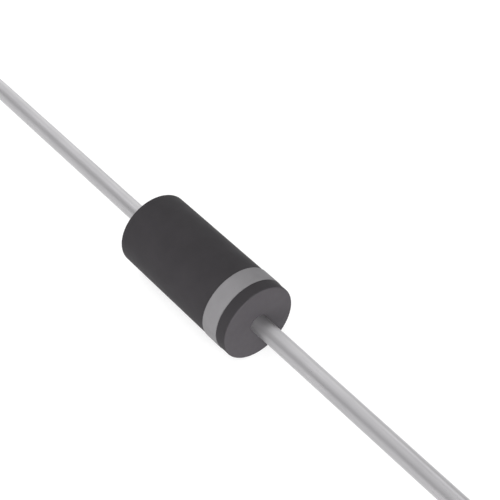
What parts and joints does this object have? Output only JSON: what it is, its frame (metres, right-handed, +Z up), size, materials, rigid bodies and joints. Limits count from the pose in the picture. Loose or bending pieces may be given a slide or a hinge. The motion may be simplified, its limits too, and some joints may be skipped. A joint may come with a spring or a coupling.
{
  "type": "axial rectifier diode",
  "caption": "Plastic-cased axial rectifier diode: a dark moulded cylinder with a light cathode band and a straight tinned wire lead from the middle of each end; it blocks reverse current.",
  "frame": {"origin": "centre of the case, on the axis of the leads", "axes": "+X along the leads, out of the cathode (banded) end; +Z up; the part is round about X"},
  "size_m": [0.0578, 0.0034, 0.0034],
  "materials": {
    "case_epoxy": "dark grey moulded epoxy, fine satin",
    "band_ink": "light grey printed ink, satin",
    "tinned_wire": "bright tinned copper, drawn",
    "silicon": "polished silicon",
    "solder": "dull solder",
    "silicone_resin": "soft translucent white"
  },
  "bodies": {
    "root": {"case": "case_epoxy", "cathode_band": "band_ink", "cathode_lead": "tinned_wire", "anode_lead": "tinned_wire", "silicon_die": "silicon", "cathode_solder": "solder", "anode_solder": "solder", "junction_coating": "silicone_resin"}
  },
  "joints": []
}
